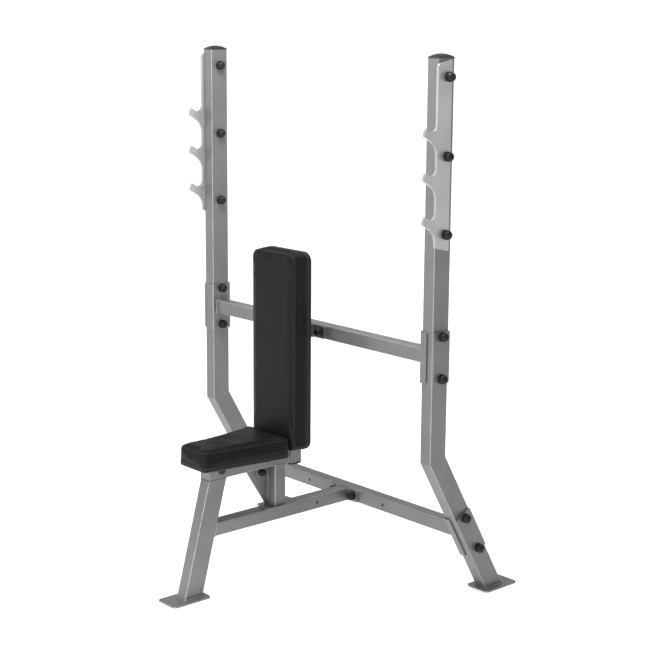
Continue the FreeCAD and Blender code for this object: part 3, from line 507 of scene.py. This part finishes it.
# Pads -----------------------------------------------------------------------------------------
class Pad:
    """A pad seen from its own board: u and v run along the board, w is the height above its back."""

    def __init__(self, name, u, v, w):
        self.name = name
        self.cushion_node = name + "_cushion"
        self.board_node = name + "_board"
        board_low, board_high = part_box(self.board_node)
        cushion_low, cushion_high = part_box(self.cushion_node)
        axis = max(range(3), key=lambda k: abs(w[k]))
        back, front = sorted(x * w[axis] for x in (board_low[axis], board_high[axis]))
        self.board_depth = front - back
        self.foam_depth = cushion_high[axis] - cushion_low[axis]
        self.origin = Vector(w) * back
        self.u = Vector(u)
        self.v = Vector(v)
        self.w = Vector(w)
        self.depth = self.board_depth + self.foam_depth
        self.outline = self.find_outline()

    def place(self, u, v, w):
        return self.origin + self.u * u + self.v * v + self.w * w

    def local(self, point):
        offset = point - self.origin
        return offset.dot(self.u), offset.dot(self.v), offset.dot(self.w)

    def find_outline(self):
        """Evenly spaced (u, v) points round the CAD pad, anticlockwise."""
        flat = []
        for vertex in bpy.data.objects[self.cushion_node].data.vertices:
            u, v, _ = self.local(vertex.co)
            flat.append(Vector((u, v)))
        hull = [flat[i] for i in geometry.convex_hull_2d(flat)]
        area = sum(a.x * b.y - b.x * a.y for a, b in zip(hull, hull[1:] + hull[:1]))
        if area < 0:
            hull.reverse()
        return resampled(hull, OUTLINE_STEP, True)

    def inset(self, distance):
        """The outline moved inwards."""
        count = len(self.outline)
        moved = []
        for i, point in enumerate(self.outline):
            ahead = (self.outline[(i + 1) % count] - self.outline[i - 1]).normalized()
            inward = Vector((-ahead.y, ahead.x))
            moved.append(point + inward * distance)
        return moved

    def ring(self, bm, inset, height):
        return [bm.verts.new(self.place(p.x, p.y, height)) for p in self.inset(inset)]


def cushion_shell(pad):
    """The pad before it swells: straight sides, a rounded edge and a flat face."""
    top = pad.depth - PAD_FACE_SLACK
    heights = [(PAD_SIDE_SLACK, pad.board_depth)]
    for step in range(PAD_EDGE_STEPS + 1):
        angle = math.radians(90 * step / PAD_EDGE_STEPS)
        heights.append((PAD_SIDE_SLACK + PAD_EDGE * (1 - math.cos(angle)),
                        top - PAD_EDGE * (1 - math.sin(angle))))

    def build(bm):
        rings = [pad.ring(bm, inset, height) for inset, height in heights]
        for first, second in zip(rings, rings[1:]):
            bridge(bm, first, second)
        bm.faces.new(list(reversed(rings[0])))
        bm.faces.new(rings[-1])

    return mesh_from(pad.name + "_shell", build)


def evaluated_mesh(piece):
    graph = bpy.context.evaluated_depsgraph_get()
    return bpy.data.meshes.new_from_object(piece.evaluated_get(graph), depsgraph=graph)


def bake_modifier(piece, kind, **settings):
    """Adds a modifier, takes its result as the piece's mesh and drops the modifier."""
    modifier = piece.modifiers.new(kind.lower(), kind)
    for name, value in settings.items():
        setattr(modifier, name, value)
    mesh = evaluated_mesh(piece)
    piece.modifiers.remove(modifier)
    piece.data = mesh


def swell(piece, pad):
    """Cloth pressure from inside, with the board side held and each point's movement limited."""
    rest = [vertex.co.copy() for vertex in piece.data.vertices]
    held = [i for i, point in enumerate(rest)
            if pad.local(point)[2] < pad.board_depth + PAD_HELD_DEPTH]
    group = piece.vertex_groups.new(name="held")
    group.add(held, 1.0, "REPLACE")
    cloth = piece.modifiers.new("cloth", "CLOTH")
    cloth.settings.vertex_group_mass = "held"
    cloth.settings.use_pressure = True
    cloth.settings.uniform_pressure_force = PAD_PRESSURE
    cloth.settings.effector_weights.gravity = 0.0
    cloth.settings.quality = PAD_QUALITY
    cloth.settings.tension_stiffness = PAD_STRETCH_STIFFNESS
    cloth.settings.compression_stiffness = PAD_STRETCH_STIFFNESS
    cloth.settings.bending_stiffness = PAD_BEND_STIFFNESS
    cloth.point_cache.frame_start = 1
    cloth.point_cache.frame_end = PAD_FRAMES
    for frame_number in range(1, PAD_FRAMES + 1):
        bpy.context.scene.frame_set(frame_number)
    swollen = evaluated_mesh(piece)
    for i, point in enumerate(rest):
        moved = swollen.vertices[i].co - point
        if moved.length > PAD_SWELL:
            moved *= PAD_SWELL / moved.length
        swollen.vertices[i].co = point + moved
    piece.modifiers.remove(cloth)
    piece.vertex_groups.clear()
    piece.data = swollen
    bpy.context.scene.frame_set(1)


def seam_path(pad, tree):
    """Points of the seam, where the face meets the sides, on the swollen surface."""
    points = []
    count = len(pad.outline)
    outer = pad.inset(-SEAM_PROBE)
    for i in range(count):
        inward = (pad.outline[i] - outer[i]).normalized()
        start = pad.place(outer[i].x, outer[i].y, pad.depth + SEAM_PROBE - SEAM_DROP)
        aim = (pad.u * inward.x + pad.v * inward.y - pad.w).normalized()
        hit = tree.ray_cast(start, aim)[0]
        if hit:
            points.append(hit)
    return smoothed(resampled(points, OUTLINE_STEP, True), SEAM_SMOOTHING)


def pull_in(piece, pad, path):
    """Pulls the cover in along the seam and gives it small puckers and soft unevenness."""
    lookup = KDTree(len(path))
    for i, point in enumerate(path):
        lookup.insert(point, i)
    lookup.balance()
    normals = [vertex.normal.copy() for vertex in piece.data.vertices]
    for vertex, normal in zip(piece.data.vertices, normals):
        _, nearest, distance = lookup.find(vertex.co)
        height = pad.local(vertex.co)[2]
        if height < pad.board_depth + UNEVEN_FROM:
            continue
        shift = noise.noise(vertex.co * UNEVEN_SCALE) * UNEVEN_DEPTH
        if distance < SEAM_REACH:
            shift -= SEAM_GROOVE * (1 - (distance / SEAM_REACH) ** 2) ** 2
        elif distance < PUCKER_REACH * SEAM_REACH:
            fade = 1 - (distance - SEAM_REACH) / ((PUCKER_REACH - 1) * SEAM_REACH)
            wander = PUCKER_WANDER * noise.noise(vertex.co * PUCKER_SCALE)
            pucker = math.sin(nearest * OUTLINE_STEP / PUCKER_LENGTH + wander)
            shift += PUCKER_DEPTH * fade * fade * pucker
        vertex.co = vertex.co + normal * shift


def add_cushion(pad, materials):
    """The cushion's cover, and the path of its seam."""
    shell = cushion_shell(pad)
    piece = add_piece(pad.name + "_cushion_cover", shell, materials["vinyl"])
    bake_modifier(piece, "REMESH", mode="VOXEL", voxel_size=PAD_VOXEL, adaptivity=0.0)
    swell(piece, pad)
    bake_modifier(piece, "SUBSURF", levels=1, render_levels=1)
    surface = BVHTree.FromPolygons([v.co for v in piece.data.vertices],
                                   [p.vertices[:] for p in piece.data.polygons])
    path = seam_path(pad, surface)
    pull_in(piece, pad, path)
    for polygon in piece.data.polygons:
        polygon.use_smooth = True
    piece.data.materials.clear()
    piece.data.materials.append(materials["vinyl"])
    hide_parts(pad.cushion_node)
    return path


def add_seam(pad, path, materials):
    """The raised seam round the face of the cover."""
    def radius_at(i):
        return SEAM_RADIUS * (1 + SEAM_WAVER * math.sin(i * SEAM_WAVE))

    mesh = mesh_from(pad.name + "_seam", lambda bm: tube_along(
        bm, resampled(path, SEAM_STEP, True), True, radius_at, SEAM_SIDES))
    add_piece(pad.name + "_seam", mesh, materials["vinyl"])


def add_cover_band(pad, materials):
    """The cover's band round the board's edge, with a slightly uneven hem over the back."""
    lap = pad.board_depth + COVER_LAP
    # (distance in from the outline, height): down the side, round the back, the hem, back inside.
    sections = [(2.2 * MM, lap), (1.0 * MM, lap - 0.6 * MM), (0.7 * MM, lap - 2 * MM),
                (0.9 * MM, pad.board_depth / 2), (1.1 * MM, 1.6 * MM), (1.8 * MM, 0.0),
                (3.2 * MM, -COVER_THICKNESS), (COVER_HEM - 1 * MM, -COVER_THICKNESS),
                (COVER_HEM, -COVER_THICKNESS / 2), (COVER_HEM, 0.0), (3.0 * MM, 0.0),
                (2.6 * MM, lap)]
    lifts = [noise.noise(Vector((p.x * HEM_SCALE, p.y * HEM_SCALE, 3.0))) for p in pad.outline]

    def build(bm):
        rings = []
        for inset, height in sections:
            ring = pad.ring(bm, inset, height)
            if height < 0:
                for vertex, lift in zip(ring, lifts):
                    vertex.co += pad.w * (-HEM_UNEVEN * max(lift, 0.0))
            rings.append(ring)
        for i in range(len(rings)):
            bridge(bm, rings[i], rings[(i + 1) % len(rings)])

    add_piece(pad.name + "_cover_band", mesh_from(pad.name + "_cover_band", build),
              materials["vinyl"])


def add_staples(pad, materials, blocked):
    """Upholstery staples along the hem, left out where a metal part covers the hem."""
    hem_line = [Vector((p.x, p.y, 0)) for p in pad.inset(COVER_HEM * STAPLE_LINE)]
    spots = resampled(hem_line, STAPLE_PITCH, True)
    count = len(spots)
    height = -COVER_THICKNESS - STAPLE_WIRE * STAPLE_PROUD

    def build(bm):
        for i, spot in enumerate(spots):
            if any(low.x < spot.x < high.x and low.y < spot.y < high.y for low, high in blocked):
                continue
            along = (spots[(i + 1) % count] - spots[i - 1]).normalized()
            ends = (spot - along * STAPLE_CROWN / 2, spot + along * STAPLE_CROWN / 2)
            legs = [pad.place(e.x, e.y, height + STAPLE_WIRE * STAPLE_LEG) for e in ends]
            tops = [pad.place(e.x, e.y, height) for e in ends]
            path = [legs[0], tops[0], tops[1], legs[1]]
            tube_along(bm, resampled(path, STAPLE_STEP, False), False,
                       lambda _: STAPLE_WIRE / 2, STAPLE_SIDES)

    add_piece(pad.name + "_staples", mesh_from(pad.name + "_staples", build),
              materials["zinc"])


def flat_box(pad, node, margin):
    """A CAD node's extent in a pad's u and v, widened by a margin."""
    low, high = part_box(node)
    first = Vector(pad.local(low)[:2])
    second = Vector(pad.local(high)[:2])
    edge = Vector((margin, margin))
    return (Vector(map(min, first, second)) - edge, Vector(map(max, first, second)) + edge)


def add_pads(materials):
    pads = ((Pad("back", (1, 0, 0), (0, 0, 1), (0, -1, 0)), ["back_post"]),
            (Pad("seat", (1, 0, 0), (0, 1, 0), (0, 0, 1)),
             ["seat_plate_front", "seat_plate_rear", "seat_rail"]))
    for pad, metal_parts in pads:
        path = add_cushion(pad, materials)
        add_seam(pad, path, materials)
        add_cover_band(pad, materials)
        add_staples(pad, materials, [flat_box(pad, node, STAPLE_CLEARANCE) for node in metal_parts])


# Welds ----------------------------------------------------------------------------------------
def add_bead(bm, path, closed, radius, chance):
    """One weld bead: a tube whose radius falls and rises with every ripple."""
    points = resampled(path, BEAD_STEP, closed)
    waver = [1 + chance.uniform(-BEAD_WAVER, BEAD_WAVER) for _ in points]

    def radius_at(i):
        ripple = abs(math.cos(math.pi * i * BEAD_STEP / BEAD_PITCH))
        return radius * waver[i] * (1 - BEAD_RIPPLE * ripple)

    tube_along(bm, points, closed, radius_at, BEAD_SIDES)


def add_weld(name, beads, materials):
    """Weld beads as one painted piece; a bead is (path, closed, radius)."""
    chance = random.Random(name)

    def build(bm):
        for path, closed, radius in beads:
            add_bead(bm, path, closed, radius, chance)

    add_piece(name, mesh_from(name, build), materials["frame"])


def loop_xy(x0, x1, y0, y1, z):
    return rounded_loop([Vector((x0, y0, z)), Vector((x1, y0, z)),
                         Vector((x1, y1, z)), Vector((x0, y1, z))], TUBE_CORNER)


def loop_xz(low, high, y):
    return rounded_loop([Vector((low.x, y, low.z)), Vector((high.x, y, low.z)),
                         Vector((high.x, y, high.z)), Vector((low.x, y, high.z))], TUBE_CORNER)


def loop_yz(low, high, x):
    return rounded_loop([Vector((x, low.y, low.z)), Vector((x, high.y, low.z)),
                         Vector((x, high.y, high.z)), Vector((x, low.y, high.z))], TUBE_CORNER)


def side_welds(side):
    """One side's mitre and foot, and the ends of the crossmembers there."""
    low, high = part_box("upright_" + side)
    leg_low, leg_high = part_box("rear_leg_" + side)
    rise = leg_high.z - low.z
    depth = high.y - low.y
    rake = 2 * math.atan2(rise, depth)   # the mitre halves the bend between upright and rear leg
    left, right = low.x + BEAD_SINK, high.x - BEAD_SINK
    front, back = low.y + BEAD_SINK, high.y - BEAD_SINK
    mitre = [Vector((left, front, low.z)), Vector((right, front, low.z)),
             Vector((right, back, low.z + rise)), Vector((left, back, low.z + rise))]
    beads = [(rounded_loop(mitre, TUBE_CORNER), True, FLUSH_BEAD)]
    foot_front = leg_high.y - depth / math.cos(rake)
    beads.append((loop_xy(leg_low.x, leg_high.x, foot_front, leg_high.y, leg_low.z),
                  True, BIG_BEAD))
    for bar in ("upper_crossmember", "lower_crossmember"):
        bar_low, bar_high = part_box(bar)
        end_x = bar_high.x if side == "right" else bar_low.x
        beads.append((loop_yz(bar_low, bar_high, end_x), True, BIG_BEAD))
    return beads


def front_welds():
    """Front leg to its foot plate, the seat rail and the spine, and the spine to its flange."""
    low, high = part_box("front_leg")
    leg_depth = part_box("upright_right")[1].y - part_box("upright_right")[0].y
    span = leg_depth / math.cos(FRONT_RAKE)
    spine_low, spine_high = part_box("spine_tube")

    def leg_back(z):
        return high.y - (high.z - z) * math.tan(FRONT_RAKE)

    spine_end = [Vector((x, leg_back(z), z)) for x, z in (
        (spine_low.x, spine_low.z), (spine_high.x, spine_low.z),
        (spine_high.x, spine_high.z), (spine_low.x, spine_high.z))]
    return [(loop_xy(low.x, high.x, low.y, low.y + span, low.z), True, BIG_BEAD),
            (loop_xy(low.x, high.x, high.y - span, high.y, high.z), True, FLUSH_BEAD),
            (rounded_loop(spine_end, TUBE_CORNER), True, BIG_BEAD),
            (loop_xz(spine_low, spine_high, spine_high.y), True, SMALL_BEAD)]


def straight(x0, y0, z0, x1, y1, z1):
    return [Vector((x0, y0, z0)), Vector((x1, y1, z1))]


def seat_welds():
    """Seat post, its base plate, gusset, tab, and the rail to its seat plates and end plates."""
    post_low, post_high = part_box("seat_post")
    base_low, base_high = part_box("post_base_plate")
    spine_low, spine_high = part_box("spine_tube")
    gusset_low, gusset_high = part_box("seat_gusset")
    tab_low, tab_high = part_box("rail_tab")
    rail_low, rail_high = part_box("seat_rail")
    beads = [(loop_xy(post_low.x, post_high.x, post_low.y, post_high.y, z), True, SMALL_BEAD)
             for z in (post_low.z, post_high.z)]
    for y in (base_low.y, base_high.y):
        beads.append((straight(spine_low.x + BEAD_MARGIN, y, spine_high.z,
                               spine_high.x - BEAD_MARGIN, y, spine_high.z), False, BIG_BEAD))
    for x in (gusset_low.x, gusset_high.x):
        inset = FLUSH_BEAD / 2 if x == gusset_low.x else 0.0
        beads.append((straight(x + inset, gusset_high.y, gusset_low.z + BEAD_MARGIN,
                               x + inset, gusset_high.y, gusset_high.z - BEAD_MARGIN),
                      False, FLUSH_BEAD if inset else SMALL_BEAD))
        beads.append((straight(x, gusset_high.y - GUSSET_FOOT, gusset_low.z,
                               x, gusset_high.y, gusset_low.z), False, SMALL_BEAD))
    for x in (tab_low.x, tab_high.x):
        beads.append((straight(x, tab_low.y + BEAD_MARGIN, tab_high.z,
                               x, tab_high.y - BEAD_MARGIN, tab_high.z), False, SMALL_BEAD))
    for plate in ("seat_plate_front", "seat_plate_rear"):
        low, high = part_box(plate)
        height = rail_high.z - BEAD_SINK
        for x in (rail_low.x, rail_high.x):
            beads.append((straight(x, low.y + BEAD_MARGIN, height,
                                   x, high.y - BEAD_MARGIN, height), False, SMALL_BEAD))
    inner_low = Vector((rail_low.x + BEAD_SINK, 0, rail_low.z + BEAD_SINK))
    inner_high = Vector((rail_high.x - BEAD_SINK, 0, rail_high.z - BEAD_SINK))
    for y in (rail_low.y, rail_high.y):
        beads.append((loop_xz(inner_low, inner_high, y), True, RAIL_END_BEAD))
    return beads


def back_welds():
    """Both ends of the stub behind the back pad."""
    low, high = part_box("back_stub")
    return [(loop_xz(low, high, y), True, SMALL_BEAD) for y in (low.y, high.y)]


def add_welds(materials):
    for side in ("right", "left"):
        add_weld("weld_side_" + side, side_welds(side), materials)
    add_weld("weld_front_leg", front_welds(), materials)
    add_weld("weld_seat_frame", seat_welds(), materials)
    add_weld("weld_back_stub", back_welds(), materials)


# Studio ---------------------------------------------------------------------------------------
def look_from(azimuth, elevation):
    """Unit vector from the bench towards a viewer at this azimuth and elevation in degrees."""
    a = math.radians(azimuth)
    e = math.radians(elevation)
    return Vector((math.sin(a) * math.cos(e), -math.cos(a) * math.cos(e), math.sin(e)))


def add_camera(middle):
    data = bpy.data.cameras.new("camera")
    data.lens = CAMERA_LENS
    data.sensor_width = CAMERA_SENSOR
    camera = bpy.data.objects.new("camera", data)
    bpy.context.scene.collection.objects.link(camera)
    towards = look_from(CAMERA_AZIMUTH, CAMERA_ELEVATION)
    camera.location = middle + AIM_OFFSET + towards * CAMERA_DISTANCE
    turn = (-towards).to_track_quat("-Z", "Y")
    roll = Quaternion(towards, math.radians(CAMERA_ROLL))
    camera.rotation_mode = "QUATERNION"
    camera.rotation_quaternion = roll @ turn
    bpy.context.scene.camera = camera


def add_sun(name, azimuth, elevation, strength, softness):
    data = bpy.data.lights.new(name, "SUN")
    data.energy = strength
    data.angle = math.radians(softness)
    light = bpy.data.objects.new(name, data)
    light.rotation_euler = look_from(azimuth, elevation).to_track_quat("Z", "Y").to_euler()
    bpy.context.scene.collection.objects.link(light)


def add_soft_box(name, target, azimuth, elevation, distance, size, power):
    data = bpy.data.lights.new(name, "AREA")
    data.energy = power
    data.shape = "RECTANGLE"
    data.size, data.size_y = size
    light = bpy.data.objects.new(name, data)
    towards = look_from(azimuth, elevation)
    light.location = target + towards * distance
    light.rotation_euler = towards.to_track_quat("Z", "Y").to_euler()
    bpy.context.scene.collection.objects.link(light)


def floor_material():
    material, tree, shader = new_material("studio_floor")
    clouds = noise_value(tree, 1.5, detail=3.0)
    tree.links.new(mix_colour(tree, clouds, FLOOR_DARK, FLOOR_LIGHT),
                   shader.inputs["Base Color"])
    shader.inputs["Roughness"].default_value = 0.9
    shader.inputs["Emission Color"].default_value = (1.0, 1.0, 1.0, 1.0)
    shader.inputs["Emission Strength"].default_value = FLOOR_GLOW
    return material


def add_floor():
    mesh = bpy.data.meshes.new("floor")
    size = FLOOR_SIZE
    mesh.from_pydata([(-size, -size, 0), (size, -size, 0), (size, size, 0), (-size, size, 0)],
                     [], [(0, 1, 2, 3)])
    mesh.materials.append(floor_material())
    floor = bpy.data.objects.new("floor", mesh)
    floor.location.z = -FLOOR_DROP
    bpy.context.scene.collection.objects.link(floor)


def add_world():
    """A white studio: bright at the horizon, softer overhead and on the right."""
    world = bpy.data.worlds.new("studio")
    world.use_nodes = True
    tree = world.node_tree
    towards = add_node(tree, "ShaderNodeTexCoord").outputs["Generated"]
    parts = add_node(tree, "ShaderNodeSeparateXYZ", {0: towards})
    background = tree.nodes["Background"]
    background.inputs["Color"].default_value = (1.0, 1.0, 1.0, 1.0)
    glow = remap(tree, parts.outputs["Z"], HORIZON_BAND, SKY_BAND, HORIZON_GLOW, SKY_GLOW)
    shade = remap(tree, parts.outputs["X"], *SHADE_BAND, 1.0, RIGHT_SHADE)
    tree.links.new(math_value(tree, "MULTIPLY", glow, shade), background.inputs["Strength"])
    bpy.context.scene.world = world


def add_studio(middle):
    add_world()
    add_floor()
    add_camera(middle)
    for settings in SUNS:
        add_sun(*settings)
    for name, aim, *settings in SOFT_BOXES:
        add_soft_box(name, middle + aim, *settings)
    bpy.context.scene.view_settings.view_transform = "Standard"


# Build ----------------------------------------------------------------------------------------
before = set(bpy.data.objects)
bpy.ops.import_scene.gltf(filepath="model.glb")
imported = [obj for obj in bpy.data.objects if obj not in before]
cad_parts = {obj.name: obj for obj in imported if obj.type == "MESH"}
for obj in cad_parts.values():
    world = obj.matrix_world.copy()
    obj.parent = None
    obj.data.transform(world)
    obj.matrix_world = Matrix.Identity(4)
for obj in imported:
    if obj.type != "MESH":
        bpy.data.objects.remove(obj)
cad_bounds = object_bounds()
materials = make_materials()
paint_cad_nodes(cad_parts, materials)
add_pads(materials)
add_welds(materials)
add_studio((cad_bounds[0] + cad_bounds[1]) / 2)
